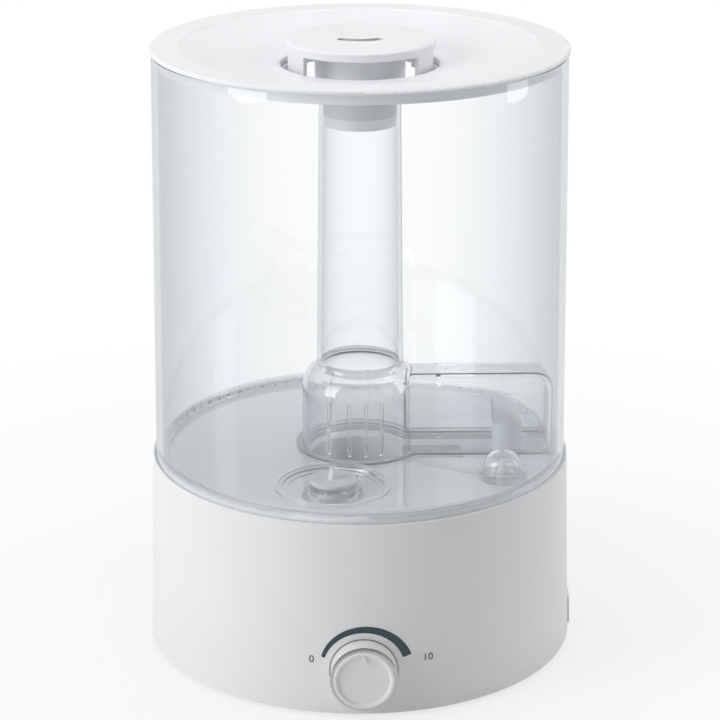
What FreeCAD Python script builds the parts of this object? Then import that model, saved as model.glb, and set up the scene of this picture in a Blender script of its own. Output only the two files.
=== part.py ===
"""Top-fill cool mist humidifier: a clear water tank with a central flue on a white base.

Units are millimetres. +Z is up and the origin is on the surface it stands on, on the axis of
the body. The dial faces -Y, the air duct in the tank runs along +X to the power inlet's side.
"""

import FreeCAD
import Part
import math
import os

V = FreeCAD.Vector
Z_AXIS = V(0, 0, 1)

# ---------------------------------------------------------------- driving dimensions
# heights of the main levels
FOOT_HEIGHT = 1.5          # rubber feet, under the bottom cover
BASE_TOP = 102.0           # top edge of the base shell
TANK_TOP = 315.0           # rim of the tank, where the lid rests
RIM_DEPTH = 12.0           # how deep the tank's foot sits inside the base shell
FLOOR_RISE = 2.0           # upper face of the tank's floor, above the base shell's top edge

# body radii, each a straight taper
BASE_R_BOTTOM = 111.8
BASE_TAPER = 3.1           # how much smaller the base's radius is at its top edge
TANK_TAPER = 2.75          # the same for the tank
RIM_WALL = 1.0             # wall of the base shell beside the tank's foot
BASE_WALL = 2.5
TANK_WALL = 3.2
FLOOR_THICK = 3.0

# clearances
SLIP = 0.35                # between pieces that lift apart
SNUG = 0.1                 # between pieces fixed to each other
TURN = 0.05                # radial running clearance of a shaft

# lid
LID_OVERHANG = 0.7
LID_THICK = 2.0
LID_BAND = 15.0            # flat band round the rim
DISH_DEPTH = 9.4           # fall from the rim to the pouring hole
SKIRT_DROP = 5.2
SKIRT_WALL = 2.2

# nozzle cap and mist sleeve
CAP_R = 38.0
CAP_GAP = 1.8              # between the cap's legs and the edge of the pouring hole
CAP_RISE = 3.3             # top of the cap above the lid's rim
CAP_THICK = 2.0
CAP_WALL = 2.2
CAP_SKIRT = 4.7            # closed part of the cap's side
LEG_ANGLES = (30.0, 150.0, 210.0, 330.0)
LEG_SPAN = 24.0            # degrees that each leg covers
SLOT_LENGTH = 24.0
SLOT_WIDTH = 5.2
SLOT_BEND_R = 18.0
SLOT_Y = -7.0              # middle of the slot, ahead of the axis
COLLAR_OUT = 2.05          # how far the collar stands out over the flue's mouth
COLLAR_WALL = 1.9
SLEEVE_REACH = 16.0        # how far the sleeve plugs into the flue
SEAL_HEIGHT = 7.3

# flue, mist chamber and air duct in the tank
FLUE_R_TOP = 20.75
FLUE_R_BOTTOM = 22.4
FLUE_WALL = 1.85
FLUE_GAP = 22.3            # from the flue's mouth up to the tank's rim
CHAMBER_R = 30.4
CHAMBER_HEIGHT = 32.0      # straight part of the chamber wall
SHOULDER_HEIGHT = 15.5
DUCT_TIP_GAP = 3.0         # between the duct's end and the tank's wall
DUCT_TIP_FLANGE = 0.6
DUCT_HALF = 16.0
DUCT_HEIGHT = 41.0
DUCT_ROUND = 9.0
CLEAR_WALL = 2.0
FLANGE_OUT = 3.2
FLANGE_THICK = 1.5
OPENING_INSET = 3.0        # edge of the floor's air opening, inside the chamber and duct walls
RIB_X = 40.5

# tank outlet valve
VALVE_ANGLE = 256.4        # direction of the valve from the axis
WELL_GAP = 1.8             # between the well round the valve and the chamber
WELL_EDGE = 12.8           # between the well and the tank's wall
WELL_LIP = 1.2
VALVE_HOLE_R = 7.6
VALVE_DISC_R = 11.8
STEM_R = 1.8
VALVE_OPEN = 1.6           # gap under the disc while the base holds the valve open

# float and the dome over its post
FLOAT_BACK = 29.0          # from the duct's end back to the float
FLOAT_ASIDE = 24.5         # from the duct's side out to the float
DOME_R = 10.2
DOME_WALL = 1.5
FLOAT_WELL_R = 12.5
POST_R = 3.2

# base: deck, basin, air outlet
DECK_GAP = 3.0             # between the deck and the tank's floor
TRAY_WALL = 2.0
BASIN_R = 26.0
BASIN_DEPTH = 36.0
VALVE_POCKET_R = 16.0
VALVE_POCKET_DEPTH = 14.0
FLOAT_WELL_DEPTH = 28.0
SNORKEL_BACK = 23.0        # from the duct's end back to the snorkel
SNORKEL_Y = 4.5
TROUGH_HALF = 12.0         # shallow trough in the deck, from the basin towards the snorkel
TROUGH_DEPTH = 12.0
TROUGH_GAP = 24.0          # from the trough's end to the snorkel's axis
SNORKEL_R = 7.8
SNORKEL_WALL = 1.4
SNORKEL_BEND = 8.2
SNORKEL_RISE = 15.0
VALVE_CHANNEL_HALF = 7.0   # channels in the deck, from the basin to the pocket and to the well
FLOAT_CHANNEL_HALF = 4.5
FLOAT_CHANNEL_LIFT = 6.0   # channel's floor above the float well's
POST_EDGE = 18.7           # from the screw posts' circle out to the base's top edge
SCREW_POST_R = 4.4
SCREW_R = 1.5

# dial
KNOB_R = 16.6
KNOB_PLAY = 0.8            # round the knob in its recess
KNOB_LIP = 1.4             # step in from the knob's side to its face, under the trim ring
KNOB_GROOVE = 2.4          # from the face back to that step
DIAL_BOSS_OUT = 3.4        # boss behind the dial, which stands on the bottom cover
SHAFT_SHORT = 4.5          # from the knob's face back to the end of the shaft
BUSH_WALL = 0.6
KNOB_OUT = 11.2            # how far the knob stands out of the base
KNOB_RECESS = 2.3
SHAFT_R = 3.0
NUT_R = 5.6
POT_SIDE = 17.0
POT_DEPTH = 8.5

# power inlet
INLET_Z = 10.3
INLET_WIDE = 20.0
INLET_HIGH = 14.4
INLET_PROUD = 1.0
JACK_R = 3.0
JACK_PIN_R = 1.0
JACK_DEPTH = 9.0

# mist maker, fan and electronics
DISC_R = 10.0
DISC_THICK = 1.2
DISC_SEAL_WALL = 2.4       # rubber outside the disc's edge
DISC_SEAL_LAP = 1.5        # rubber over the disc's faces
DISC_SEAL_FACE = 1.0
HOLDER_R = 17.0
HOLDER_SCREW_INSET = 2.2
HOLDER_SCREW_ANGLES = (30, 150, 270)
HOLDER_THICK = 6.0
FAN_SIDE = 40.0
FAN_HEIGHT = 10.0
FAN_Z = 58.0
FAN_BACK = 10.0            # the fan's centre from the snorkel's axis, along X and Y
FAN_ASIDE = 3.5
FAN_BLADES = 7
FAN_HOLE_R = 1.7
FAN_HOLE_INSET = 4.0
ROTOR_INSET = 2.2          # blade tips in from the fan's side
AXLE_R = 1.0
BOARD_X, BOARD_Y, BOARD_Z = -42.0, 30.0, 20.0
BOARD_LONG, BOARD_WIDE, BOARD_THICK = 70.0, 50.0, 1.6
COVER_THICK = 3.0
COVER_GAP = 0.3
SCREW_SEAT = 1.6           # depth of the screws' recesses in the cover
SCREW_SEAT_R = 3.6
VENT_PITCH = 4.2           # slots under the fan
VENT_HALF = 1.2
BOARD_INSET = 4.0          # screws in from the board's edges
FOOT_PEG_R = 2.5
FOOT_R = 8.0
FOOT_EDGE = 33.8           # from the feet's circle out to the base's bottom edge
FOOT_ANGLES = (60, 150, 240, 330)
POST_ANGLES = (45, 135, 225, 315)

# ---------------------------------------------------------------- levels and radii worked out from them
COVER_TOP = FOOT_HEIGHT + COVER_THICK
DIAL_Z = COVER_TOP + KNOB_R + DIAL_BOSS_OUT
TANK_FOOT = BASE_TOP - RIM_DEPTH
FLOOR_TOP = BASE_TOP + FLOOR_RISE
FLOOR_BOTTOM = FLOOR_TOP - FLOOR_THICK
DECK = FLOOR_BOTTOM - DECK_GAP
LID_TOP = TANK_TOP + LID_THICK
HOLE_Z = LID_TOP - DISH_DEPTH
CAP_TOP = LID_TOP + CAP_RISE
FLUE_TOP = TANK_TOP - FLUE_GAP
CHAMBER_TOP = FLOOR_TOP + CHAMBER_HEIGHT
FLUE_BASE = CHAMBER_TOP + SHOULDER_HEIGHT
BASE_R_TOP = BASE_R_BOTTOM - BASE_TAPER
TANK_R_FOOT = BASE_R_TOP - RIM_WALL - SLIP
TANK_R_TOP = TANK_R_FOOT - TANK_TAPER
SHELL_R_IN = BASE_R_TOP - RIM_WALL
SHELF = TANK_FOOT - 3.0    # underside of the tray's flange
BASIN_FLOOR = DECK - BASIN_DEPTH
POCKET_FLOOR = DECK - VALVE_POCKET_DEPTH
WELL_FLOOR = DECK - FLOAT_WELL_DEPTH


def along(z, z0, r0, z1, r1):
    """Radius at height z on the straight taper through (r0, z0) and (r1, z1)."""
    return r0 + (r1 - r0) * (z - z0) / (z1 - z0)


def base_r(z):
    return along(z, FOOT_HEIGHT, BASE_R_BOTTOM, BASE_TOP, BASE_R_TOP)


def tank_r(z):
    return along(z, TANK_FOOT, TANK_R_FOOT, TANK_TOP, TANK_R_TOP)


def tank_r_in(z):
    return tank_r(z) - TANK_WALL


# ---------------------------------------------------------------- places worked out from them
HOLE_R = CAP_R + CAP_GAP
COLLAR_R = FLUE_R_TOP + COLLAR_OUT
POST_RING_R = BASE_R_TOP - POST_EDGE
FOOT_RING_R = BASE_R_BOTTOM - FOOT_EDGE
DUCT_END = tank_r_in(FLOOR_TOP) - DUCT_TIP_GAP
SNORKEL_X = DUCT_END - SNORKEL_BACK
FAN_X = SNORKEL_X - FAN_BACK
FAN_Y = SNORKEL_Y + FAN_ASIDE
FLOAT_X = DUCT_END - FLOAT_BACK
FLOAT_Y = -(DUCT_HALF + FLOAT_ASIDE)
WELL_R = (tank_r_in(FLOOR_TOP) - WELL_EDGE - CHAMBER_R - WELL_GAP) / 2
VALVE_RING_R = CHAMBER_R + WELL_GAP + WELL_R
VALVE_X = VALVE_RING_R * math.cos(math.radians(VALVE_ANGLE))
VALVE_Y = VALVE_RING_R * math.sin(math.radians(VALVE_ANGLE))


# ---------------------------------------------------------------- building blocks
def cylinder(radius, z0, z1, x=0.0, y=0.0):
    return Part.makeCylinder(radius, z1 - z0, V(x, y, z0))


def tube(outer, inner, z0, z1, x=0.0, y=0.0):
    return cylinder(outer, z0, z1, x, y).cut(cylinder(inner, z0 - 1, z1 + 1, x, y))


def block(x0, x1, y0, y1, z0, z1):
    return Part.makeBox(x1 - x0, y1 - y0, z1 - z0, V(x0, y0, z0))


def outline(steps):
    """Closed wire in the XZ plane. A step is a corner (r, z), or (r, z, mid_r, mid_z) for an arc to it."""
    edges = []
    last = steps[0]
    for step in list(steps[1:]) + [steps[0][:2]]:
        start = V(last[0], 0, last[1])
        end = V(step[0], 0, step[1])
        if len(step) == 4:
            edges.append(Part.Arc(start, V(step[2], 0, step[3]), end).toShape())
        elif start.distanceToPoint(end) > 1e-6:
            edges.append(Part.makeLine(start, end))
        last = step
    return Part.Wire(edges)


def turned(steps):
    """Solid of revolution about Z of an outline."""
    return Part.Face(outline(steps)).revolve(V(0, 0, 0), Z_AXIS, 360)


def facing_front(shape):
    """Turns a shape modelled along +Z so that its +Z points to -Y."""
    shape.rotate(V(0, 0, 0), V(1, 0, 0), 90)
    return shape


def at_dial(shape):
    """Places a shape modelled about Z on the dial's axis, +Z to the front."""
    facing_front(shape)
    shape.translate(V(0, 0, DIAL_Z))
    return shape


def wedge(radius, z0, z1, middle, span):
    """Pie slice about Z, span degrees wide, centred on the direction middle."""
    piece = Part.makeCylinder(radius, z1 - z0, V(0, 0, z0), Z_AXIS, span)
    piece.rotate(V(0, 0, 0), Z_AXIS, middle - span / 2)
    return piece


def joined(first, *others):
    shape = first
    for other in others:
        shape = shape.fuse(other)
    return shape.removeSplitter()


def rounded(shape, radius, chosen):
    """Fillets the edges that chosen(edge) picks."""
    edges = [edge for edge in shape.Edges if chosen(edge)]
    return shape.makeFillet(radius, edges)


def spots(radius, angles):
    for angle in angles:
        yield radius * math.cos(math.radians(angle)), radius * math.sin(math.radians(angle))


# ---------------------------------------------------------------- base casing
DIAL_FLAT = base_r(DIAL_Z) - KNOB_RECESS      # distance of the dial's seat from the axis
DIAL_BACK = DIAL_FLAT - BASE_WALL - 1.2       # inner face of the thickened wall behind it
KNOB_FRONT = base_r(DIAL_Z) + KNOB_OUT


def base_shell():
    shelf_in = SHELL_R_IN - 3.0
    steps = [
        (BASE_R_BOTTOM, FOOT_HEIGHT),
        (base_r(BASE_TOP - 0.5), BASE_TOP - 0.5),
        (BASE_R_TOP - 0.5, BASE_TOP, BASE_R_TOP - 0.12, BASE_TOP - 0.12),
        (SHELL_R_IN, BASE_TOP),
        (SHELL_R_IN, SHELF),
        (shelf_in, SHELF),
        (shelf_in, SHELF - 2.5),
        (base_r(SHELF - 5.5) - BASE_WALL, SHELF - 5.5),
        (BASE_R_BOTTOM - BASE_WALL, FOOT_HEIGHT),
    ]
    boss = at_dial(cylinder(KNOB_R + DIAL_BOSS_OUT, DIAL_BACK, DIAL_FLAT + 0.3))
    shell = joined(turned(steps), boss)
    recess = at_dial(cylinder(KNOB_R + KNOB_PLAY, DIAL_FLAT, KNOB_FRONT))
    bush_hole = at_dial(cylinder(SHAFT_R + BUSH_WALL + SNUG, DIAL_BACK - 1, DIAL_FLAT + 1))
    shell = shell.cut(recess).cut(bush_hole)
    return shell.cut(inlet_block(SNUG)).cut(flat_key())


def flat_key():
    """Slots in the shell's shelf that locate the tray and let air past."""
    keys = [wedge(SHELL_R_IN - 1.5, SHELF - 4, SHELF + 0.01, angle, 3.0) for angle in (0, 120, 240)]
    inner = cylinder(SHELL_R_IN - 6.0, SHELF - 5, SHELF + 1)
    return joined(*keys).cut(inner)


def bottom_cover():
    top = COVER_TOP
    cover = cylinder(BASE_R_BOTTOM - BASE_WALL - COVER_GAP, FOOT_HEIGHT, top)
    for x, y in spots(POST_RING_R, POST_ANGLES):
        cover = cover.cut(cylinder(SCREW_R + 0.3, 0, top + 1, x, y))
        cover = cover.cut(cylinder(SCREW_SEAT_R, 0, FOOT_HEIGHT + SCREW_SEAT, x, y))
    for x, y in spots(FOOT_RING_R, FOOT_ANGLES):
        cover = cover.cut(cylinder(FOOT_PEG_R + SNUG, 0, top + 1, x, y))
    for index in range(-4, 5):
        middle = FAN_Y + index * VENT_PITCH
        half = math.sqrt((FAN_SIDE / 2 + 1) ** 2 - (index * VENT_PITCH) ** 2)
        low_y, high_y = middle - VENT_HALF, middle + VENT_HALF
        cover = cover.cut(block(FAN_X - half, FAN_X + half, low_y, high_y, 0, top + 1))
    legs = []
    for dx in (-1, 1):
        for dy in (-1, 1):
            x = BOARD_X + dx * (BOARD_LONG / 2 - BOARD_INSET)
            y = BOARD_Y + dy * (BOARD_WIDE / 2 - BOARD_INSET)
            legs.append(tube(3.2, 1.2, top - 0.5, BOARD_Z, x, y))
    for x, y in fan_holes():
        legs.append(cylinder(3.0, top - 0.5, FAN_Z, x, y))
        legs.append(cylinder(FAN_HOLE_R - SNUG, FAN_Z - 0.5, FAN_Z + FAN_HEIGHT - 0.5, x, y))
    cover = joined(cover, *legs)
    return cover.cut(inlet_block(SNUG))


def rubber_feet():
    feet = []
    for x, y in spots(FOOT_RING_R, FOOT_ANGLES):
        pad = Part.makeCone(FOOT_R - 0.8, FOOT_R, FOOT_HEIGHT, V(x, y, 0))
        peg = cylinder(FOOT_PEG_R, FOOT_HEIGHT - 0.2, COVER_TOP - 0.4, x, y)
        feet.append(pad.fuse(peg).removeSplitter())
    return Part.makeCompound(feet)


def cover_screws():
    seat = FOOT_HEIGHT + SCREW_SEAT
    screws = []
    for x, y in spots(POST_RING_R, POST_ANGLES):
        head = Part.makeCone(3.0, 2.6, 1.3, V(x, y, seat), V(0, 0, -1))
        cross = block(x - 1.6, x + 1.6, y - 0.3, y + 0.3, seat - 2, seat - 0.6)
        cross = cross.fuse(block(x - 0.3, x + 0.3, y - 1.6, y + 1.6, seat - 2, seat - 0.6))
        screws.append(head.fuse(cylinder(SCREW_R, seat - 0.1, seat + 12, x, y)).cut(cross).removeSplitter())
    return Part.makeCompound(screws)


# ---------------------------------------------------------------- water tray
def water_tray():
    """Deck under the tank, with the mist basin, valve pocket and float well hanging below it."""
    wall_r = tank_r_in(TANK_FOOT) - 2.4
    steps = [
        (0, DECK - TRAY_WALL),
        (wall_r - TRAY_WALL, DECK - TRAY_WALL),
        (wall_r - TRAY_WALL, SHELF),
        (SHELL_R_IN - SLIP, SHELF),
        (SHELL_R_IN - SLIP, TANK_FOOT),
        (wall_r, TANK_FOOT),
        (wall_r, DECK - 1.0),
        (wall_r - 1.0, DECK, wall_r - 0.3, DECK - 0.3),
        (0, DECK),
    ]
    tray = turned(steps)
    wells = [
        (0, 0, BASIN_R, BASIN_FLOOR),
        (VALVE_X, VALVE_Y, VALVE_POCKET_R, POCKET_FLOOR),
        (FLOAT_X, FLOAT_Y, FLOAT_WELL_R, WELL_FLOOR),
    ]
    for x, y, radius, floor in wells:
        tray = tray.fuse(cylinder(radius + TRAY_WALL, floor - TRAY_WALL, DECK - 0.5, x, y))
    channels = [
        (VALVE_X, VALVE_Y, VALVE_CHANNEL_HALF, POCKET_FLOOR),
        (FLOAT_X, FLOAT_Y, FLOAT_CHANNEL_HALF, WELL_FLOOR + FLOAT_CHANNEL_LIFT),
        (SNORKEL_X - TROUGH_GAP, 0, TROUGH_HALF, DECK - TROUGH_DEPTH),
    ]
    for x, y, half, floor in channels:
        tray = tray.fuse(channel(x, y, half + TRAY_WALL, floor - TRAY_WALL, DECK - 0.5))
    for x, y, radius, floor in wells:
        tray = tray.cut(cylinder(radius, floor, DECK + 5, x, y))
    for x, y, half, floor in channels:
        tray = tray.cut(channel(x, y, half, floor, DECK + 5))
    for x, y in spots(POST_RING_R, POST_ANGLES):
        post = cylinder(SCREW_POST_R, COVER_TOP, DECK - TRAY_WALL + 0.5, x, y)
        tray = tray.fuse(post).cut(cylinder(SCREW_R + TURN, COVER_TOP - 1, COVER_TOP + 14, x, y))
    float_post = cylinder(POST_R, WELL_FLOOR - 1, FLOOR_TOP, FLOAT_X, FLOAT_Y)
    tip = Part.makeCone(POST_R, 0.7, DOME_R - DOME_WALL - 3.0, V(FLOAT_X, FLOAT_Y, FLOOR_TOP))
    tray = tray.fuse(float_post).fuse(tip)
    tray = tray.cut(cylinder(SNORKEL_R - SNORKEL_WALL, DECK - 5, DECK + 5, SNORKEL_X, SNORKEL_Y))
    tray = tray.cut(cylinder(DISC_R - DISC_SEAL_LAP, BASIN_FLOOR - 5, BASIN_FLOOR + 1))
    return tray.removeSplitter()


def channel(x, y, half, z0, z1):
    """Straight channel, 2 * half wide, from the axis to (x, y)."""
    length = math.hypot(x, y)
    piece = block(0, length, -half, half, z0, z1)
    piece.rotate(V(0, 0, 0), Z_AXIS, math.degrees(math.atan2(y, x)))
    return piece


def air_snorkel():
    """Bent outlet on the deck that blows air along the tank's duct to the mist chamber."""
    x, y = SNORKEL_X, SNORKEL_Y
    inner = SNORKEL_R - SNORKEL_WALL
    bend_z = DECK + SNORKEL_RISE

    def elbow(radius):
        disc = Part.Face(Part.Wire(Part.makeCircle(radius, V(x, y, bend_z))))
        return disc.revolve(V(x - SNORKEL_BEND, y, bend_z), V(0, -1, 0), 90)

    foot = cylinder(SNORKEL_R + 1.6, DECK, DECK + 1.4, x, y)
    outer = joined(cylinder(SNORKEL_R, DECK, bend_z, x, y), elbow(SNORKEL_R), foot)
    return outer.cut(cylinder(inner, DECK - 1, bend_z, x, y)).cut(elbow(inner))


def valve_lift_pin():
    """Fixed peg in the tray that holds the tank's valve open while the tank is on the base."""
    foot = cylinder(5.0, POCKET_FLOOR, POCKET_FLOOR + 1.5, VALVE_X, VALVE_Y)
    return joined(foot, cylinder(2.4, POCKET_FLOOR, VALVE_FOOT_Z, VALVE_X, VALVE_Y))


# ---------------------------------------------------------------- float
FLOAT_LOW = WELL_FLOOR + 1.2
FLOAT_HEIGHT = 11.0
MAGNET_R = 7.2
MAGNET_R_IN = 4.9
MAGNET_DEPTH = 3.0


def float_body():
    ring = tube(FLOAT_WELL_R - 1.5, POST_R + 0.5, FLOAT_LOW, FLOAT_LOW + FLOAT_HEIGHT, FLOAT_X, FLOAT_Y)
    groove_z = FLOAT_LOW + FLOAT_HEIGHT - MAGNET_DEPTH
    return ring.cut(tube(MAGNET_R, MAGNET_R_IN, groove_z, groove_z + 5, FLOAT_X, FLOAT_Y))


def float_magnet():
    groove_z = FLOAT_LOW + FLOAT_HEIGHT - MAGNET_DEPTH
    return tube(MAGNET_R - SNUG, MAGNET_R_IN + SNUG, groove_z, groove_z + 2.6, FLOAT_X, FLOAT_Y)


# ---------------------------------------------------------------- mist maker
def mist_disc():
    top = BASIN_FLOOR - TRAY_WALL - DISC_SEAL_FACE
    return cylinder(DISC_R, top - DISC_THICK, top)


def disc_seal():
    """Rubber ring that clamps the disc against the underside of the basin."""
    under = BASIN_FLOOR - TRAY_WALL
    low = under - 2 * DISC_SEAL_FACE - DISC_THICK
    ring = tube(DISC_R + DISC_SEAL_WALL, DISC_R - DISC_SEAL_LAP, low, under)
    return ring.cut(cylinder(DISC_R + 0.02, under - DISC_SEAL_FACE - DISC_THICK, under - DISC_SEAL_FACE))


def disc_holder():
    under = BASIN_FLOOR - TRAY_WALL
    low = under - HOLDER_THICK
    ring = tube(HOLDER_R, DISC_R - 3, low, under)
    seat = under - 2 * DISC_SEAL_FACE - DISC_THICK
    ring = ring.cut(cylinder(DISC_R + DISC_SEAL_WALL + SNUG, seat, under + 1))
    for x, y in spots(HOLDER_R - HOLDER_SCREW_INSET, HOLDER_SCREW_ANGLES):
        ring = ring.cut(cylinder(1.25, low - 1, under + 1, x, y))
    return ring


def holder_screws():
    under = BASIN_FLOOR - TRAY_WALL
    low = under - HOLDER_THICK
    screws = []
    for x, y in spots(HOLDER_R - HOLDER_SCREW_INSET, HOLDER_SCREW_ANGLES):
        head = cylinder(2.0, low - 1.4, low, x, y)
        screws.append(head.fuse(cylinder(1.2, low - 0.1, under - 0.05, x, y)).removeSplitter())
    return Part.makeCompound(screws)


# ---------------------------------------------------------------- fan
def fan_holes():
    """Centres of the four holes in the fan's corners."""
    reach = FAN_SIDE / 2 - FAN_HOLE_INSET
    return [(FAN_X + a * reach, FAN_Y + b * reach) for a in (-1, 1) for b in (-1, 1)]


def fan_frame():
    half = FAN_SIDE / 2
    x, y, z = FAN_X, FAN_Y, FAN_Z
    frame = block(x - half, x + half, y - half, y + half, z, z + FAN_HEIGHT)
    upright = [e for e in frame.Edges if e.BoundBox.ZLength > FAN_HEIGHT - 0.1]
    frame = frame.makeFillet(3.0, upright)
    frame = frame.cut(cylinder(half - 1.2, z - 1, z + FAN_HEIGHT + 1, x, y))
    for hole_x, hole_y in fan_holes():
        frame = frame.cut(cylinder(FAN_HOLE_R, z - 1, z + FAN_HEIGHT + 1, hole_x, hole_y))
    arms = [cylinder(9.0, z, z + 1.2, x, y)]
    for angle in (15, 135, 255):
        arm = block(0, half - 0.5, -1.2, 1.2, z, z + 1.2)
        arm.rotate(V(0, 0, 0), Z_AXIS, angle)
        arm.translate(V(x, y, 0))
        arms.append(arm)
    axle = cylinder(AXLE_R, z, z + FAN_HEIGHT - 2, x, y)
    return joined(frame, *arms, axle)


def fan_rotor():
    x, y = FAN_X, FAN_Y
    z0, z1 = FAN_Z + 1.8, FAN_Z + FAN_HEIGHT - 0.8
    hub = cylinder(8.6, z0, z1, x, y)
    rotor = hub
    for index in range(FAN_BLADES):
        blade = block(8.0, FAN_SIDE / 2 - ROTOR_INSET, -0.6, 0.6, -3.4, 3.4)
        blade.rotate(V(0, 0, 0), V(1, 0, 0), 38)
        blade.rotate(V(0, 0, 0), Z_AXIS, index * 360.0 / FAN_BLADES)
        blade.translate(V(x, y, (z0 + z1) / 2))
        rotor = rotor.fuse(blade)
    rotor = rotor.common(cylinder(FAN_SIDE / 2 - ROTOR_INSET, z0, z1, x, y))
    return rotor.cut(cylinder(AXLE_R + TURN, z0 - 1, z1 - 1.1, x, y)).removeSplitter()


def fan_duct():
    """Funnel from the square fan up to the round snorkel hole in the deck."""
    low, high = FAN_Z + FAN_HEIGHT, DECK - TRAY_WALL
    half = FAN_SIDE / 2

    def loft(inset, radius, z0, z1):
        corners = [(-1, -1), (1, -1), (1, 1), (-1, 1), (-1, -1)]
        side = half - inset
        square = Part.makePolygon([V(FAN_X + side * a, FAN_Y + side * b, z0) for a, b in corners])
        circle = Part.Wire(Part.makeCircle(radius, V(SNORKEL_X, SNORKEL_Y, z1)))
        return Part.makeLoft([square, circle], True, True)

    outer = loft(1.0, SNORKEL_R + 1.8, low, high)
    inner = loft(2.6, SNORKEL_R - SNORKEL_WALL, low - 0.01, high + 0.01)
    return outer.cut(inner)


# ---------------------------------------------------------------- electronics
def driver_board():
    half_x, half_y = BOARD_LONG / 2, BOARD_WIDE / 2
    board = block(
        BOARD_X - half_x, BOARD_X + half_x, BOARD_Y - half_y, BOARD_Y + half_y,
        BOARD_Z, BOARD_Z + BOARD_THICK,
    )
    for dx in (-1, 1):
        for dy in (-1, 1):
            x = BOARD_X + dx * (half_x - BOARD_INSET)
            y = BOARD_Y + dy * (half_y - BOARD_INSET)
            board = board.cut(cylinder(1.3, BOARD_Z - 1, BOARD_Z + 3, x, y))
    return board


def board_screws():
    screws = []
    top = BOARD_Z + BOARD_THICK
    for dx in (-1, 1):
        for dy in (-1, 1):
            x = BOARD_X + dx * (BOARD_LONG / 2 - BOARD_INSET)
            y = BOARD_Y + dy * (BOARD_WIDE / 2 - BOARD_INSET)
            head = cylinder(2.4, top, top + 1.6, x, y)
            screws.append(head.fuse(cylinder(1.15, top - 8, top + 0.1, x, y)).removeSplitter())
    return Part.makeCompound(screws)


def heat_sink():
    top = BOARD_Z + BOARD_THICK
    x, y = BOARD_X + 14, BOARD_Y + 12
    plates = [block(x - 14, x + 14, y - 1.2, y + 1.2, top, top + 26)]
    for index in range(-3, 4):
        fin_x = x + index * 4
        plates.append(block(fin_x - 0.6, fin_x + 0.6, y - 8, y + 8, top + 3, top + 26))
    return joined(*plates)


def power_transistor():
    top = BOARD_Z + BOARD_THICK
    x, y = BOARD_X + 14, BOARD_Y + 12 - 8
    body = block(x - 5, x + 5, y - 4.6, y, top + 6, top + 21)
    leads = [block(x + dx - 0.4, x + dx + 0.4, y - 2.6, y - 2.0, top, top + 6.2) for dx in (-2.5, 0, 2.5)]
    return joined(body, *leads)


def driver_coil():
    top = BOARD_Z + BOARD_THICK
    return tube(9.0, 4.0, top, top + 9.0, BOARD_X - 18, BOARD_Y + 8)


def capacitors():
    top = BOARD_Z + BOARD_THICK
    places = [(-22, -14, 6.0, 17.0), (-6, -15, 4.5, 12.0), (6, -15, 4.5, 12.0)]
    cans = [cylinder(r, top, top + h, BOARD_X + dx, BOARD_Y + dy) for dx, dy, r, h in places]
    return Part.makeCompound(cans)


# ---------------------------------------------------------------- dial
def dial_control():
    """Potentiometer body behind the shell, with the threaded bush through it."""
    half = POT_SIDE / 2
    case = block(-half, half, -half, half, DIAL_BACK - POT_DEPTH, DIAL_BACK)
    bush = cylinder(SHAFT_R + BUSH_WALL, DIAL_BACK - 0.5, DIAL_FLAT + 2.6)
    body = joined(case, bush)
    return at_dial(body.cut(cylinder(SHAFT_R + TURN, DIAL_BACK - POT_DEPTH + 2, DIAL_FLAT + 3)))


def dial_nut():
    corners = [
        V(NUT_R * math.cos(math.radians(60 * k)), NUT_R * math.sin(math.radians(60 * k)), DIAL_FLAT)
        for k in range(7)
    ]
    nut = Part.Face(Part.makePolygon(corners)).extrude(V(0, 0, 2.0))
    return at_dial(nut.cut(cylinder(SHAFT_R + BUSH_WALL, DIAL_FLAT - 1, DIAL_FLAT + 3)))


def dial_shaft():
    return at_dial(cylinder(SHAFT_R, DIAL_BACK - POT_DEPTH + 2.2, KNOB_FRONT - SHAFT_SHORT))


def knob():
    back = DIAL_FLAT + 0.6
    groove = KNOB_FRONT - KNOB_GROOVE
    lip_r = KNOB_R - KNOB_LIP
    steps = [
        (0, back),
        (KNOB_R, back),
        (KNOB_R, groove),
        (lip_r, groove),
        (lip_r, KNOB_FRONT - 0.8),
        (lip_r - 0.8, KNOB_FRONT, lip_r - 0.23, KNOB_FRONT - 0.23),
        (lip_r - 1.6, KNOB_FRONT - 0.15),
        (lip_r - 3.4, KNOB_FRONT - 1.1, lip_r - 2.3, KNOB_FRONT - 0.85),
        (0, KNOB_FRONT - 1.4),
    ]
    body = turned(steps)
    body = body.cut(tube(KNOB_R - 1.8, SHAFT_R + 2.2, back - 1, groove - 3.0))
    body = body.cut(cylinder(NUT_R + 0.8, back - 1, DIAL_FLAT + 3.4))
    body = body.cut(cylinder(SHAFT_R + TURN, back - 1, KNOB_FRONT - SHAFT_SHORT))
    mark = block(-1.1, 1.1, lip_r - 5.6, lip_r - 1.9, KNOB_FRONT - 1.6, KNOB_FRONT - 0.2)
    mark = rounded(mark, 0.9, lambda e: e.BoundBox.ZLength > 1.0)
    return at_dial(joined(body, mark))


def knob_ring():
    groove = KNOB_FRONT - KNOB_GROOVE
    inner = KNOB_R - KNOB_LIP + 0.02
    ring = turned([
        (inner, groove),
        (KNOB_R + 0.3, groove),
        (KNOB_R + 0.3, groove + 0.9),
        (inner + 0.5, groove + 1.7, KNOB_R - 0.15, groove + 1.5),
        (inner, groove + 1.7),
    ])
    return at_dial(ring)


# ---------------------------------------------------------------- power inlet
def inlet_block(grow):
    """Block through the shell's wall at +X, the space that the inlet plate takes, grown by a clearance."""
    half = INLET_WIDE / 2 + grow
    low, high = INLET_Z - INLET_HIGH / 2 - grow, INLET_Z + INLET_HIGH / 2 + grow
    return block(BASE_R_BOTTOM - BASE_WALL - 3, BASE_R_BOTTOM + 4, -half, half, low, high)


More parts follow.
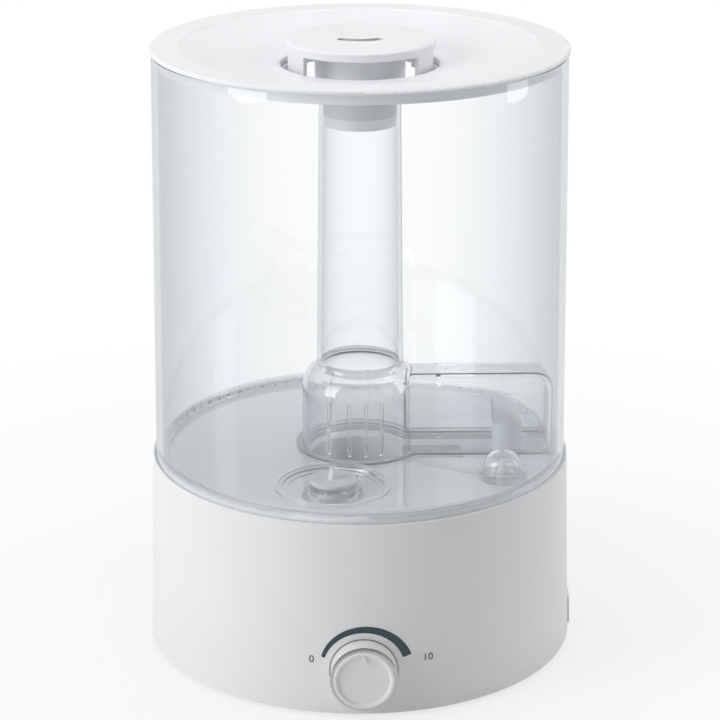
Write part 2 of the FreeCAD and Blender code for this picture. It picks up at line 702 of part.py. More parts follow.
def power_inlet_plate():
    def cone(offset):
        low, high = 0.0, INLET_Z + INLET_HIGH
        return Part.makeCone(base_r(low) + offset, base_r(high) + offset, high - low, V(0, 0, low))

    plate = inlet_block(0).common(cone(INLET_PROUD)).cut(cone(-BASE_WALL))
    face_x = base_r(INLET_Z) + INLET_PROUD
    socket = Part.makeCylinder(JACK_R + 1.6, 20, V(face_x - 14, 0, INLET_Z), V(1, 0, 0))
    return plate.cut(socket)


def power_jack():
    face_x = base_r(INLET_Z) + INLET_PROUD - 0.6
    back_x = face_x - JACK_DEPTH - 3.0
    case = block(back_x, face_x - 4.2, -5, 5, INLET_Z - 5, INLET_Z + 5)
    barrel = Part.makeCylinder(JACK_R + 1.5, face_x - back_x, V(back_x, 0, INLET_Z), V(1, 0, 0))
    hole = Part.makeCylinder(JACK_R, JACK_DEPTH + 2, V(face_x - JACK_DEPTH, 0, INLET_Z), V(1, 0, 0))
    return joined(case, barrel).cut(hole)


def power_jack_pin():
    face_x = base_r(INLET_Z) + INLET_PROUD - 0.6
    start = face_x - JACK_DEPTH
    return Part.makeCylinder(JACK_PIN_R, JACK_DEPTH - 1.0, V(start, 0, INLET_Z), V(1, 0, 0))


# ---------------------------------------------------------------- tank
def tank_shell():
    steps = [
        (tank_r(TANK_FOOT) - 1.0, TANK_FOOT),
        (tank_r(TANK_FOOT + 1.0), TANK_FOOT + 1.0, tank_r(TANK_FOOT) - 0.3, TANK_FOOT + 0.3),
        (tank_r(TANK_TOP - 0.8), TANK_TOP - 0.8),
        (TANK_R_TOP - 0.8, TANK_TOP, TANK_R_TOP - 0.24, TANK_TOP - 0.24),
        (tank_r_in(TANK_TOP) + 0.6, TANK_TOP),
        (tank_r_in(TANK_TOP - 0.6), TANK_TOP - 0.6, tank_r_in(TANK_TOP) + 0.18, TANK_TOP - 0.18),
        (tank_r_in(TANK_FOOT), TANK_FOOT),
    ]
    return turned(steps)


def duct_footprint(grow, z0, z1):
    """Plan of the chamber and duct, grown outwards, as a flat plate."""
    end = DUCT_END + min(grow, DUCT_TIP_FLANGE)
    half = DUCT_HALF + grow
    return cylinder(CHAMBER_R + grow, z0, z1).fuse(block(0, end, -half, half, z0, z1)).removeSplitter()


def tank_floor():
    bottom, top = FLOOR_BOTTOM, FLOOR_TOP
    fillet = 4.0
    steps = [
        (0, bottom),
        (tank_r_in(bottom), bottom),
        (tank_r_in(top + fillet), top + fillet),
        (tank_r_in(top) - fillet, top, tank_r_in(top) - 0.25 * fillet, top + 0.35 * fillet),
        (0, top),
    ]
    floor = turned(steps)
    floor = floor.cut(duct_footprint(FLANGE_OUT + SNUG, top, top + 2 * fillet))
    lip = tube(WELL_R, WELL_R - 1.8, top - 0.5, top + WELL_LIP, VALVE_X, VALVE_Y)
    dome = dome_over(DOME_R, FLOOR_TOP)
    ring = tube(DOME_R + 2.2, DOME_R - 0.5, top - 0.5, top + 0.8, FLOAT_X, FLOAT_Y)
    floor = floor.cut(duct_footprint(-OPENING_INSET, bottom - 1, top + 1))
    floor = floor.fuse(lip).fuse(dome).fuse(ring)
    floor = floor.cut(dome_over(DOME_R - DOME_WALL, bottom - 1))
    floor = floor.cut(tube(WELL_R - 3.6, 14.4, top - 1.4, top + 5, VALVE_X, VALVE_Y))
    floor = floor.cut(tube(WELL_R - 6.4, 14.4, top - 1.9, top, VALVE_X, VALVE_Y))
    floor = floor.fuse(tube(12.6, VALVE_HOLE_R, FLOOR_BOTTOM - 4.0, top, VALVE_X, VALVE_Y))
    floor = floor.cut(cylinder(VALVE_HOLE_R, bottom - 5, top + 5, VALVE_X, VALVE_Y))
    return floor.removeSplitter()


def dome_over(radius, z0):
    column = cylinder(radius, z0, FLOOR_TOP + 1.0, FLOAT_X, FLOAT_Y)
    ball = Part.makeSphere(radius, V(FLOAT_X, FLOAT_Y, FLOOR_TOP + 1.0))
    upper = block(
        FLOAT_X - 20, FLOAT_X + 20, FLOAT_Y - 20, FLOAT_Y + 20, FLOOR_TOP + 1.0, FLOOR_TOP + 30
    )
    return column.fuse(ball.common(upper)).removeSplitter()


def flue_form(inset):
    """Solid outer form of the chamber, shoulder and flue, inset by a wall."""
    chamber = CHAMBER_R - inset
    low = FLOOR_TOP
    knee = CHAMBER_TOP
    waist = FLUE_R_BOTTOM - (FLUE_WALL if inset else 0)
    mouth = FLUE_R_TOP - (FLUE_WALL if inset else 0)
    drop = 0.8 * inset
    shoulder_z = knee + 12.0 - drop
    shoulder_r = waist + 1.6
    steps = [
        (0, low),
        (chamber, low),
        (chamber - 0.3, knee),
        (shoulder_r, shoulder_z, chamber - 2.2, knee + 7.6 - drop / 2),
        (waist, FLUE_BASE, waist + 0.35, shoulder_z + 1.5),
        (mouth, FLUE_TOP),
        (0, FLUE_TOP),
    ]
    return turned(steps)


def duct_form(inset, z0):
    half = DUCT_HALF - inset
    top = FLOOR_TOP + DUCT_HEIGHT - inset
    end = DUCT_END - inset
    form = block(0, end, -half, half, z0, top)

    def rounded_edge(edge):
        box = edge.BoundBox
        on_top = box.ZMin > top - 0.01 and box.XMax > 1.0
        upright_end = box.ZLength > 5 and box.XMin > end - 0.01
        return on_top or upright_end

    return rounded(form, DUCT_ROUND - inset, rounded_edge)


def mist_tube():
    """Clear moulding welded on the floor: mist chamber, flue above it and air duct beside it."""
    outer = flue_form(0).fuse(duct_form(0, FLOOR_TOP))
    hollow = flue_form(CLEAR_WALL).fuse(duct_form(CLEAR_WALL, FLOOR_TOP))
    flange = duct_footprint(FLANGE_OUT, FLOOR_TOP, FLOOR_TOP + FLANGE_THICK)
    well_rim = cylinder(WELL_R + 0.3, FLOOR_TOP - 1, FLOOR_TOP + 5, VALVE_X, VALVE_Y)
    ring = cylinder(DOME_R + 2.5, FLOOR_TOP - 1, FLOOR_TOP + 15, FLOAT_X, FLOAT_Y)
    moulding = outer.fuse(flange.cut(well_rim).cut(ring)).cut(hollow)
    for angle in (235, 258, 275, 292, 80, 120):
        x, y = CHAMBER_R * math.cos(math.radians(angle)), CHAMBER_R * math.sin(math.radians(angle))
        rib = cylinder(1.0, FLOOR_TOP + 3, CHAMBER_TOP - 1, x * 0.92, y * 0.92)
        moulding = moulding.fuse(rib.cut(duct_form(CLEAR_WALL, FLOOR_TOP)))
    hoop = duct_form(CLEAR_WALL - 0.5, FLOOR_TOP + 8.0).cut(duct_form(CLEAR_WALL + 1.2, FLOOR_TOP))
    hoop = hoop.common(block(RIB_X - 1.1, RIB_X + 1.1, -50, 50, FLOOR_TOP, FLUE_TOP))
    moulding = moulding.fuse(hoop)
    return moulding.removeSplitter()


# ---------------------------------------------------------------- tank valve
DISC_LOW = FLOOR_TOP + VALVE_OPEN
DISC_TOP = DISC_LOW + 2.2
GUIDE_LOW = FLOOR_BOTTOM - 1.0
SPRING_LENGTH = 6.2
VALVE_FOOT_Z = GUIDE_LOW - SPRING_LENGTH - 1.2


def valve_guide():
    """Spider pressed in the outlet, whose hub guides the stem."""
    rim = tube(VALVE_HOLE_R - SNUG / 2, VALVE_HOLE_R - 1.5, GUIDE_LOW, FLOOR_TOP - 0.6, VALVE_X, VALVE_Y)
    hub = cylinder(STEM_R + 1.4, GUIDE_LOW, FLOOR_TOP - 0.6, VALVE_X, VALVE_Y)
    guide = rim.fuse(hub)
    for angle in (90, 210, 330):
        arm = block(0, VALVE_HOLE_R - 0.5, -0.7, 0.7, GUIDE_LOW, GUIDE_LOW + 2.4)
        arm.rotate(V(0, 0, 0), Z_AXIS, angle)
        arm.translate(V(VALVE_X, VALVE_Y, 0))
        guide = guide.fuse(arm)
    guide = guide.cut(cylinder(STEM_R + TURN, GUIDE_LOW - 1, FLOOR_TOP + 1, VALVE_X, VALVE_Y))
    return guide.removeSplitter()


def valve_stem():
    stem = cylinder(STEM_R, VALVE_FOOT_Z, DISC_TOP + 0.6, VALVE_X, VALVE_Y)
    button = cylinder(STEM_R + 2.6, VALVE_FOOT_Z, VALVE_FOOT_Z + 1.2, VALVE_X, VALVE_Y)
    return joined(stem, button)


def valve_seal():
    """Silicone disc with a moulded nipple that holds it on the stem."""
    x, y = VALVE_X, VALVE_Y
    disc = Part.makeCone(VALVE_DISC_R - 0.5, VALVE_DISC_R, DISC_TOP - DISC_LOW, V(x, y, DISC_LOW))
    nipple = Part.makeCone(2.9, 1.2, 5.6, V(x, y, DISC_TOP - 0.1))
    seal = disc.fuse(nipple).cut(cylinder(STEM_R, DISC_LOW - 1, DISC_TOP + 0.6, x, y))
    return seal.removeSplitter()


def valve_spring():
    wire_r, coil_r = 0.35, STEM_R + 1.2
    turns_height = SPRING_LENGTH - 2 * wire_r - 0.1
    helix = Part.makeHelix(1.35, turns_height, coil_r)
    section = Part.Wire(Part.makeCircle(wire_r, V(coil_r, 0, 0), V(0, 1, 0)))
    spring = Part.Wire(helix.Edges).makePipeShell([section], True, True)
    spring.translate(V(VALVE_X, VALVE_Y, VALVE_FOOT_Z + 1.2 + wire_r + 0.05))
    return spring


# ---------------------------------------------------------------- lid and nozzle
def lid():
    rim_r = TANK_R_TOP + LID_OVERHANG
    band_r = rim_r - LID_BAND
    under = LID_THICK
    skirt_r = tank_r_in(TANK_TOP) - SLIP
    lip = 3.0
    steps = [
        (HOLE_R, HOLE_Z - lip),
        (HOLE_R + 1.6, HOLE_Z - lip),
        (HOLE_R + 1.6, HOLE_Z - under),
        (band_r, TANK_TOP - 0.6, band_r * 0.72, HOLE_Z - under + 3.2),
        (skirt_r - SKIRT_WALL, TANK_TOP),
        (skirt_r - SKIRT_WALL, TANK_TOP - SKIRT_DROP),
        (skirt_r, TANK_TOP - SKIRT_DROP),
        (skirt_r, TANK_TOP),
        (rim_r - 0.4, TANK_TOP),
        (rim_r, TANK_TOP + 0.4),
        (rim_r, LID_TOP - 1.2),
        (rim_r - 1.2, LID_TOP, rim_r - 0.35, LID_TOP - 0.35),
        (band_r, LID_TOP),
        (band_r - 0.8, LID_TOP - 0.5),
        (HOLE_R + 1.0, HOLE_Z, band_r * 0.72, HOLE_Z + 3.9),
        (HOLE_R, HOLE_Z - 1.0, HOLE_R + 0.3, HOLE_Z - 0.3),
    ]
    return turned(steps)


RING_TOP = HOLE_Z - 3.0 - SLIP
RING_LOW = RING_TOP - 2.8
HOOK_LOW = RING_LOW - 1.5


def cap_slot():
    """Curved mist slot, round at both ends."""
    half_angle = math.degrees((SLOT_LENGTH - SLOT_WIDTH) / 2 / SLOT_BEND_R)
    half = SLOT_WIDTH / 2
    centre_y = SLOT_BEND_R + SLOT_Y
    low, high = CAP_TOP - 8, CAP_TOP + 2
    band = tube(SLOT_BEND_R + half, SLOT_BEND_R - half, low, high)
    slot = band.common(wedge(SLOT_BEND_R * 2, low, high, 270, 2 * half_angle))
    for angle in (270 - half_angle, 270 + half_angle):
        x = SLOT_BEND_R * math.cos(math.radians(angle))
        y = SLOT_BEND_R * math.sin(math.radians(angle))
        slot = slot.fuse(cylinder(half, low, high, x, y))
    slot.translate(V(0, centre_y, 0))
    return slot


def nozzle_cap():
    inner = CAP_R - CAP_WALL
    steps = [
        (0, CAP_TOP - CAP_THICK),
        (inner, CAP_TOP - CAP_THICK),
        (inner, CAP_TOP - CAP_SKIRT),
        (CAP_R, CAP_TOP - CAP_SKIRT),
        (CAP_R, CAP_TOP - 1.8),
        (CAP_R - 1.6, CAP_TOP - 0.35, CAP_R - 0.4, CAP_TOP - 0.75),
        (0, CAP_TOP, CAP_R / 2, CAP_TOP - 0.1),
    ]
    cap = turned(steps)
    wall = tube(CAP_R, inner, HOOK_LOW, CAP_TOP - CAP_SKIRT + 0.5)
    hooks = tube(CAP_R + 1.4, inner, HOOK_LOW, RING_LOW)
    for angle in LEG_ANGLES:
        slice_of = wedge(CAP_R + 10, HOOK_LOW - 1, CAP_TOP, angle, LEG_SPAN)
        cap = cap.fuse(wall.common(slice_of)).fuse(hooks.common(slice_of))
    return cap.cut(cap_slot()).removeSplitter()


def nozzle_ring():
    """Ring snapped on the cap's legs under the lid, so that the cap lifts the lid and turns in it."""
    return tube(CAP_R + 5.2, CAP_R + 0.02, RING_LOW, RING_TOP)


SLEEVE_STEP = FLUE_TOP + SLIP
PLUG_R = FLUE_R_TOP - FLUE_WALL - 0.7


def mist_sleeve():
    collar = tube(COLLAR_R, COLLAR_R - COLLAR_WALL, SLEEVE_STEP, CAP_TOP - CAP_THICK)
    step = tube(COLLAR_R, PLUG_R - COLLAR_WALL, SLEEVE_STEP, SLEEVE_STEP + 2.0)
    plug = tube(PLUG_R, PLUG_R - COLLAR_WALL, FLUE_TOP - SLEEVE_REACH, SLEEVE_STEP + 1.0)
    return joined(collar, step, plug)


def sleeve_seal():
    top = FLUE_TOP - 3.2
    return tube(PLUG_R + 0.45, PLUG_R + 0.02, top - SEAL_HEIGHT, top)


# ---------------------------------------------------------------- write every piece
PIECES = [
    base_shell, bottom_cover, rubber_feet, cover_screws, water_tray, air_snorkel, valve_lift_pin,
    float_body, float_magnet, mist_disc, disc_seal, disc_holder, holder_screws, fan_frame, fan_rotor,
    fan_duct, driver_board, board_screws, heat_sink, power_transistor, driver_coil, capacitors,
    dial_control, dial_nut, dial_shaft, knob, knob_ring, power_inlet_plate, power_jack,
    power_jack_pin, tank_shell, tank_floor, mist_tube, valve_guide, valve_stem, valve_seal,
    valve_spring, lid, nozzle_cap, nozzle_ring, mist_sleeve, sleeve_seal,
]


def main():
    os.makedirs("parts", exist_ok=True)
    for make in PIECES:
        shape = make()
        shape.exportStep(os.path.join("parts", make.__name__ + ".step"))
        print(make.__name__, len(shape.Solids), round(shape.Volume, 1), shape.isValid())


main()
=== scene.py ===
import math

import bmesh
import bpy
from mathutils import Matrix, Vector


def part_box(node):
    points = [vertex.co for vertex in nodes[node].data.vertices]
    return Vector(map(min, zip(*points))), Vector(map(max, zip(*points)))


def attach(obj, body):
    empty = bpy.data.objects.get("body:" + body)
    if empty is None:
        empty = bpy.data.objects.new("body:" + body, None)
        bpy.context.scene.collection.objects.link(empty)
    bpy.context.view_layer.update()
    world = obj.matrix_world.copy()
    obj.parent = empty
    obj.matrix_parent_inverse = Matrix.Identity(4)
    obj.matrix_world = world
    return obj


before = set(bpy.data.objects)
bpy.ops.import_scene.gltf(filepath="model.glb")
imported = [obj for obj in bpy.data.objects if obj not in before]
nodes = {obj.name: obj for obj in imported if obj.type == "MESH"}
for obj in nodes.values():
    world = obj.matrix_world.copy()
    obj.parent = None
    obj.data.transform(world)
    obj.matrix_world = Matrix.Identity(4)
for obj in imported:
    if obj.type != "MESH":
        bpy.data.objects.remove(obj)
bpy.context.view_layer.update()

MM = 0.001
scene = bpy.context.scene


# ---------------------------------------------------------------- node helpers
class Nodes:
    """A material's or the world's node tree, with short calls to add nodes and link them."""

    def __init__(self, tree):
        self.tree = tree
        tree.nodes.clear()

    def add(self, kind, inputs=None, **settings):
        node = self.tree.nodes.new(kind)
        for name, value in settings.items():
            setattr(node, name, value)
        for name, value in (inputs or {}).items():
            if isinstance(value, bpy.types.NodeSocket):
                self.tree.links.new(value, node.inputs[name])
            else:
                node.inputs[name].default_value = value
        return node

    def noise(self, scale, detail=2.0, rough=0.5):
        place = self.add("ShaderNodeTexCoord").outputs["Object"]
        settings = {"Vector": place, "Scale": scale, "Detail": detail, "Roughness": rough}
        return self.add("ShaderNodeTexNoise", settings).outputs["Fac"]

    def remap(self, value, low, high, start=0.0, stop=1.0):
        """value, going from low to high, as a number from start to stop."""
        limits = {"Value": value, "From Min": low, "From Max": high, "To Min": start, "To Max": stop}
        return self.add("ShaderNodeMapRange", limits).outputs["Result"]

    def math(self, operation, first, second):
        return self.add("ShaderNodeMath", {0: first, 1: second}, operation=operation).outputs[0]

    def mix_colour(self, factor, first, second):
        node = self.add("ShaderNodeMix", data_type="RGBA")
        for index, value in ((0, factor), (6, first), (7, second)):
            if isinstance(value, bpy.types.NodeSocket):
                self.tree.links.new(value, node.inputs[index])
            else:
                node.inputs[index].default_value = value
        return node.outputs[2]

    def bump(self, height, strength, distance):
        settings = {"Height": height, "Strength": strength, "Distance": distance}
        return self.add("ShaderNodeBump", settings).outputs["Normal"]


def new_material(name):
    material = bpy.data.materials.new(name)
    material.use_nodes = True
    return material, Nodes(material.node_tree)


def rgba(red, green, blue):
    return (red, green, blue, 1.0)


def shaded(colour, factor):
    return rgba(*(channel * factor for channel in colour[:3]))


# ---------------------------------------------------------------- materials
def moulded(name, colour, gloss=0.38, grain=0.04, coat=0.0, translucent=0.0):
    """Injection-moulded plastic or rubber: spark texture, faint flow marks, handling smudges."""
    material, n = new_material(name)
    flow = n.remap(n.noise(14.0, 3.0), 0.3, 0.7)
    base = n.mix_colour(flow, shaded(colour, 0.975), shaded(colour, 1.01))
    smudge = n.remap(n.noise(38.0, 4.0, 0.6), 0.35, 0.7, gloss - 0.05, gloss + 0.06)
    spark = n.noise(2600.0, 2.0)
    normal = n.bump(spark, grain, 0.00025)
    settings = {
        "Base Color": base, "Roughness": smudge, "Normal": normal, "IOR": 1.5,
        "Coat Weight": coat, "Coat Roughness": 0.12,
    }
    if translucent:
        settings["Subsurface Weight"] = translucent
        settings["Subsurface Radius"] = (0.004, 0.004, 0.004)
        settings["Subsurface Scale"] = 1.0
    surface = n.add("ShaderNodeBsdfPrincipled", settings)
    n.add("ShaderNodeOutputMaterial", {"Surface": surface.outputs[0]})
    return material


def metal(name, colour, gloss, grain=0.02):
    material, n = new_material(name)
    base = n.mix_colour(n.noise(60.0, 3.0), shaded(colour, 0.93), colour)
    wear = n.remap(n.noise(90.0, 4.0), 0.35, 0.7, gloss - 0.03, gloss + 0.08)
    normal = n.bump(n.noise(1800.0), grain, 0.0002)
    settings = {"Base Color": base, "Metallic": 1.0, "Roughness": wear, "Normal": normal}
    surface = n.add("ShaderNodeBsdfPrincipled", settings)
    n.add("ShaderNodeOutputMaterial", {"Surface": surface.outputs[0]})
    return material


def clear_plastic(name, edge, ripple=0.06, haze=0.0, hazy_foot=None, marks=()):
    """Polished clear plastic, bluer and darker where it is seen edge-on. Lamps shine through it.

    haze is how milky it is. hazy_foot (low, high, amount) is milkier below low, haze above high.
    """
    material, n = new_material(name)
    facing = n.add("ShaderNodeLayerWeight", {"Blend": 0.5}).outputs["Facing"]
    steep = n.math("POWER", facing, 1.5)
    colour = n.mix_colour(steep, rgba(0.985, 0.992, 0.996), rgba(*edge))
    height = n.noise(9.0, 1.0)
    for centre, radius, lift in marks:
        height = n.math("ADD", height, gate_mark(n, centre, radius, lift))
    normal = n.bump(height, ripple, 0.0012)
    smooth = n.remap(n.noise(30.0, 4.0), 0.4, 0.75, 0.0, 0.035)
    glass = n.add("ShaderNodeBsdfPrincipled", {
        "Base Color": colour, "Roughness": smooth, "Normal": normal, "IOR": 1.49,
        "Transmission Weight": 1.0,
    })
    milk = n.add("ShaderNodeBsdfPrincipled", {
        "Base Color": rgba(0.92, 0.93, 0.94), "Roughness": 0.35, "Normal": normal,
    })
    cloud = haze
    if hazy_foot:
        place = n.add("ShaderNodeTexCoord").outputs["Object"]
        height_up = n.add("ShaderNodeSeparateXYZ", {0: place}).outputs["Z"]
        low, high, amount = hazy_foot
        cloud = n.remap(height_up, low, high, amount, haze)
    body = n.add("ShaderNodeMixShader", {0: cloud, 1: glass.outputs[0], 2: milk.outputs[0]})
    lamp_light = n.add("ShaderNodeBsdfTransparent", {"Color": rgba(0.96, 0.97, 0.98)})
    path = n.add("ShaderNodeLightPath")
    lit = n.math("MAXIMUM", path.outputs["Is Shadow Ray"], path.outputs["Is Diffuse Ray"])
    mix = n.add("ShaderNodeMixShader", {0: lit, 1: body.outputs[0], 2: lamp_light.outputs[0]})
    n.add("ShaderNodeOutputMaterial", {"Surface": mix.outputs[0]})
    return material


def gate_mark(n, centre, radius, lift):
    """Height of a round dimple with a soft edge, on a surface that lies flat at centre."""
    place = n.add("ShaderNodeTexCoord").outputs["Object"]
    offset = n.add("ShaderNodeVectorMath", {0: place, 1: centre}, operation="DISTANCE")
    near = n.remap(offset.outputs["Value"], 0.0, radius, 1.0, 0.0)
    return n.math("MULTIPLY", n.math("POWER", near, 2.0), lift)


WHITE = rgba(0.80, 0.805, 0.815)
white_shell = moulded("white_shell", WHITE, gloss=0.36, grain=0.02)
lid_white = moulded("lid_white", rgba(0.84, 0.85, 0.87), gloss=0.34, grain=0.01)
inner_white = moulded("inner_white", rgba(0.80, 0.805, 0.81), gloss=0.45)
deck_white = moulded("deck_white", rgba(0.78, 0.785, 0.80), gloss=0.4)
knob_white = moulded("knob_white", rgba(0.80, 0.80, 0.80), gloss=0.30, grain=0.03, coat=0.15)
silicone = moulded("silicone", rgba(0.78, 0.79, 0.78), gloss=0.42, translucent=0.3)
seal_grey = moulded("seal_grey", rgba(0.60, 0.605, 0.61), gloss=0.5)
foot_rubber = moulded("foot_rubber", rgba(0.35, 0.35, 0.36), gloss=0.7, grain=0.15)
black_plastic = moulded("black_plastic", rgba(0.03, 0.03, 0.032), gloss=0.4)
board_green = moulded("board_green", rgba(0.03, 0.18, 0.08), gloss=0.35)
sleeve_blue = moulded("sleeve_blue", rgba(0.04, 0.05, 0.12), gloss=0.3)
dial_ink = moulded("dial_ink", rgba(0.033, 0.062, 0.075), gloss=0.45, grain=0.02)
chrome = metal("chrome", rgba(0.45, 0.46, 0.48), gloss=0.12)
steel = metal("steel", rgba(0.55, 0.55, 0.56), gloss=0.3)
disc_face = metal("disc_face", rgba(0.75, 0.70, 0.60), gloss=0.25)
aluminium = metal("aluminium", rgba(0.62, 0.62, 0.64), gloss=0.38)
copper = metal("copper", rgba(0.65, 0.30, 0.16), gloss=0.35)
dark_magnet = metal("dark_magnet", rgba(0.12, 0.12, 0.13), gloss=0.5)

EDGE_BLUE = (0.26, 0.33, 0.38)
GATE = (Vector((-66.0, -6.0, 104.0)) * MM, 0.016, 1.2)
TANK_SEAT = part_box("base_shell")[1].z
tank_clear = clear_plastic("tank_clear", EDGE_BLUE, hazy_foot=(TANK_SEAT, TANK_SEAT + 5 * MM, 0.7))
CHAMBER_TOP = TANK_SEAT + 34 * MM
FLUE_FOOT = CHAMBER_TOP + 16 * MM
tube_clear = clear_plastic(
    "tube_clear", (0.32, 0.38, 0.42), ripple=0.10, hazy_foot=(CHAMBER_TOP, FLUE_FOOT, 0.04),
)
floor_clear = clear_plastic("floor_clear", (0.80, 0.84, 0.87), ripple=0.12, haze=0.16, marks=(GATE,))

FINISH = {
    "base_shell": white_shell, "bottom_cover": white_shell, "power_inlet_plate": white_shell,
    "lid": lid_white, "nozzle_cap": lid_white,
    "nozzle_ring": inner_white, "mist_sleeve": inner_white, "valve_lift_pin": inner_white,
    "valve_guide": inner_white, "valve_stem": inner_white, "air_snorkel": lid_white,
    "disc_holder": inner_white, "fan_duct": inner_white, "float_body": inner_white,
    "water_tray": deck_white, "knob": knob_white, "knob_ring": chrome,
    "rubber_feet": foot_rubber, "sleeve_seal": seal_grey, "valve_seal": silicone,
    "disc_seal": silicone, "tank_shell": tank_clear, "tank_floor": floor_clear,
    "mist_tube": tube_clear, "fan_frame": black_plastic, "fan_rotor": black_plastic,
    "power_jack": black_plastic, "power_transistor": black_plastic,
    "driver_board": board_green, "capacitors": sleeve_blue, "driver_coil": copper,
    "heat_sink": aluminium, "mist_disc": disc_face, "power_jack_pin": disc_face,
    "float_magnet": dark_magnet, "cover_screws": steel, "holder_screws": steel,
    "board_screws": steel, "dial_control": steel, "dial_nut": steel, "dial_shaft": steel,
    "valve_spring": steel,
}


def finish_nodes():
    for name, node in nodes.items():
        node.data.materials.clear()
        node.data.materials.append(FINISH[name])
        for polygon in node.data.polygons:
            polygon.material_index = 0


# ---------------------------------------------------------------- printing round the dial
shell_low, shell_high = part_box("base_shell")
knob_low, knob_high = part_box("knob")
DIAL_Z = (knob_low.z + knob_high.z) / 2
KNOB_R = (knob_high.x - knob_low.x) / 2
BASE_R = -shell_low.y
BASE_TAPER = 3.1 * MM / (shell_high.z - shell_low.z)
INK_LIFT = 0.06 * MM
ARC_GAP = 4.0 * MM          # from the knob's side out to the crescent
ARC_THIN = 1.8 * MM
ARC_GROWTH = 2.7 * MM       # how much wider the crescent is at its thick end
NUMBER_HEIGHT = 3.9 * MM
NUMBER_RISE = 5.4 * MM      # numbers above the dial's axis
LOW_NUMBER_X = -26.0 * MM
HIGH_NUMBER_X = 32.0 * MM
CAPITAL_SHARE = 0.73        # a capital's height as a share of the font's size


def on_base(x, z, lift):
    """Point on the front of the base shell at that x and height, lifted off the surface."""
    radius = BASE_R - BASE_TAPER * (z - shell_low.z) + lift
    return Vector((x, -math.sqrt(radius ** 2 - x ** 2), z))


def wrap(mesh_maker, name):
    """Makes a mesh from a bmesh drawn flat in X and Z, laid on the base shell."""
    mesh = bpy.data.meshes.new(name)
    shape = bmesh.new()
    mesh_maker(shape)
    for vertex in shape.verts:
        vertex.co = on_base(vertex.co.x, vertex.co.z, INK_LIFT + vertex.co.y)
    shape.to_mesh(mesh)
    shape.free()
    mesh.materials.append(dial_ink)
    piece = bpy.data.objects.new(name, mesh)
    scene.collection.objects.link(piece)
    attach(piece, "base")
    return piece


def dial_arc(shape):
    """Crescent over the knob that widens clockwise from 1.8 to 4.5 mm."""
    steps = 72
    start, stop = math.radians(161), math.radians(19)
    inner = KNOB_R + ARC_GAP
    rows = []
    for step in range(steps + 1):
        share = step / steps
        angle = start + (stop - start) * share
        width = ARC_THIN + ARC_GROWTH * share ** 0.75
        column = []
        for k in range(4):
            radius = inner + width * k / 3
            x, z = radius * math.cos(angle), DIAL_Z + radius * math.sin(angle)
            column.append(shape.verts.new((x, 0, z)))
        rows.append(column)
    for left, right in zip(rows, rows[1:]):
        for k in range(3):
            shape.faces.new((left[k], left[k + 1], right[k + 1], right[k]))


def print_text(name, text, x, z, height):
    """Text centred on (x, z), height tall, as thin ink on the shell."""
    curve = bpy.data.curves.new(name + "_outline", "FONT")
    curve.body = text
    curve.align_x = "CENTER"
    curve.align_y = "CENTER"
    curve.size = height / CAPITAL_SHARE
    curve.resolution_u = 8
    holder = bpy.data.objects.new(name + "_outline", curve)
    scene.collection.objects.link(holder)
    bpy.context.view_layer.update()
    flat = bpy.data.meshes.new_from_object(holder.evaluated_get(bpy.context.evaluated_depsgraph_get()))
    bpy.data.objects.remove(holder)

    def fill(shape):
        shape.from_mesh(flat)
        for vertex in shape.verts:
            vertex.co = (x + vertex.co.x, 0, z + vertex.co.y)

    return wrap(fill, name)


# ---------------------------------------------------------------- studio
CAMERA_DISTANCE = 1.2412
CAMERA_HEIGHT = 0.5803
AIM_HEIGHT = 0.1496
CAMERA_TURN = math.radians(-1.0)
LENS = 125.9
SENSOR = 36.0
ROOM_LIGHT = 0.26           # strength of the room's light on the object
GLOSSY_SHARE = 0.45         # how much of the white room shiny surfaces show
TABLE_RADIUS = 6.0
FADE_START = 0.12           # the table's shadowed part fades to white from here outwards
FADE_END = 0.5


def make_camera():
    data = bpy.data.cameras.new("camera")
    data.sensor_width = SENSOR
    data.lens = LENS
    camera = bpy.data.objects.new("camera", data)
    scene.collection.objects.link(camera)
    side, front = math.sin(CAMERA_TURN), math.cos(CAMERA_TURN)
    camera.location = (CAMERA_DISTANCE * side, -CAMERA_DISTANCE * front, CAMERA_HEIGHT)
    aim = Vector((0, 0, AIM_HEIGHT)) - camera.location
    camera.rotation_euler = aim.to_track_quat("-Z", "Y").to_euler()
    scene.camera = camera


def make_lamp(name, place, aim, size, power, colour=(1, 1, 1)):
    data = bpy.data.lights.new(name, "AREA")
    data.shape = "RECTANGLE"
    data.size, data.size_y = size
    data.energy = power
    data.color = colour
    lamp = bpy.data.objects.new(name, data)
    scene.collection.objects.link(lamp)
    lamp.location = place
    lamp.visible_glossy = False
    direction = Vector(aim) - Vector(place)
    lamp.rotation_euler = direction.to_track_quat("-Z", "Y").to_euler()


def make_world():
    """White behind the object; a soft grey room lights it."""
    world = bpy.data.worlds.new("studio")
    scene.world = world
    world.use_nodes = True
    n = Nodes(world.node_tree)
    path = n.add("ShaderNodeLightPath")
    seen = n.math("MAXIMUM", path.outputs["Is Camera Ray"], path.outputs["Is Transmission Ray"])
    seen = n.math("MAXIMUM", seen, n.math("MULTIPLY", path.outputs["Is Glossy Ray"], GLOSSY_SHARE))
    strength = n.remap(seen, 0.0, 1.0, ROOM_LIGHT, 1.0)
    light = n.add("ShaderNodeBackground", {"Color": rgba(1, 1, 1), "Strength": strength})
    n.add("ShaderNodeOutputWorld", {"Surface": light.outputs[0]})


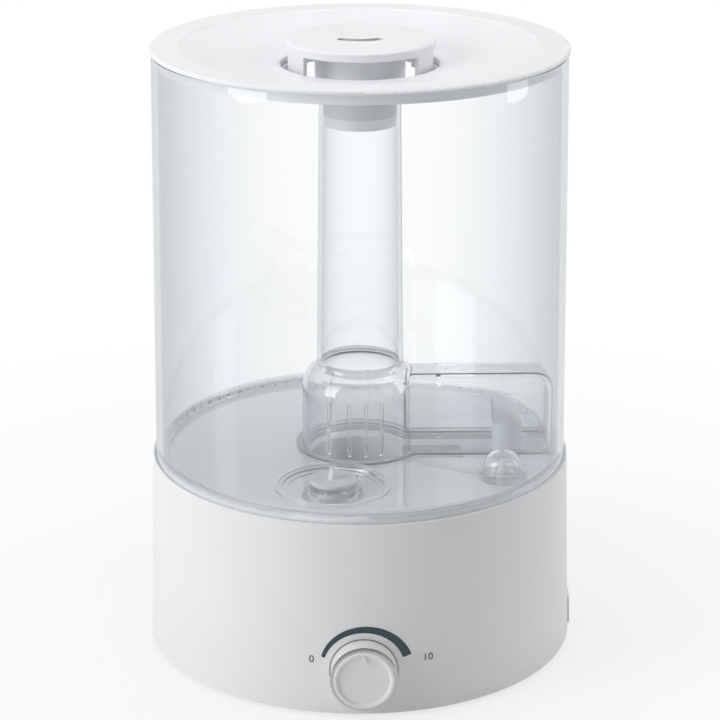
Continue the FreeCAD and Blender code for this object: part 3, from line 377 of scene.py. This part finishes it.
def make_floor():
    """Pale table that shows the object's shadow and fades into the white behind it."""
    mesh = bpy.data.meshes.new("table")
    shape = bmesh.new()
    bmesh.ops.create_circle(shape, cap_ends=True, segments=96, radius=TABLE_RADIUS)
    shape.to_mesh(mesh)
    shape.free()
    material, n = new_material("table_white")
    place = n.add("ShaderNodeTexCoord").outputs["Object"]
    away = n.add("ShaderNodeVectorMath", {0: place}, operation="LENGTH").outputs["Value"]
    fade = n.remap(away, FADE_START, FADE_END, 0.72, 1.0)
    glow = n.add("ShaderNodeEmission", {"Color": rgba(1, 1, 1), "Strength": 1.0})
    grain = n.bump(n.noise(900.0), 0.05, 0.0003)
    paint = n.add("ShaderNodeBsdfDiffuse", {"Color": rgba(0.86, 0.86, 0.86), "Normal": grain})
    seen_mix = n.add("ShaderNodeMixShader", {0: fade, 1: paint.outputs[0], 2: glow.outputs[0]})
    path = n.add("ShaderNodeLightPath")
    seen = n.math("MAXIMUM", path.outputs["Is Camera Ray"], path.outputs["Is Transmission Ray"])
    seen = n.math("MAXIMUM", seen, path.outputs["Is Glossy Ray"])
    mix = n.add("ShaderNodeMixShader", {0: seen, 1: paint.outputs[0], 2: seen_mix.outputs[0]})
    n.add("ShaderNodeOutputMaterial", {"Surface": mix.outputs[0]})
    mesh.materials.append(material)
    table = bpy.data.objects.new("table", mesh)
    table.location.z = -0.0004
    scene.collection.objects.link(table)


finish_nodes()
wrap(dial_arc, "dial_scale")
print_text("dial_low_number", "0", LOW_NUMBER_X, DIAL_Z + NUMBER_RISE, NUMBER_HEIGHT)
print_text("dial_high_number", "10", HIGH_NUMBER_X, DIAL_Z + NUMBER_RISE, NUMBER_HEIGHT)
make_world()
make_floor()
make_camera()
make_lamp("key_left", (-1.1, -0.55, 0.55), (0, 0, 0.16), (0.6, 1.1), 10.0)
make_lamp("rim_right", (1.2, 0.05, 0.5), (0, 0, 0.12), (0.4, 1.0), 4.0)
make_lamp("top_soft", (0.0, 0.1, 1.2), (0, 0, 0.2), (0.9, 0.9), 7.0)
scene.view_settings.view_transform = "Standard"
scene.cycles.transparent_max_bounces = 24
scene.cycles.max_bounces = 18
scene.cycles.transmission_bounces = 18
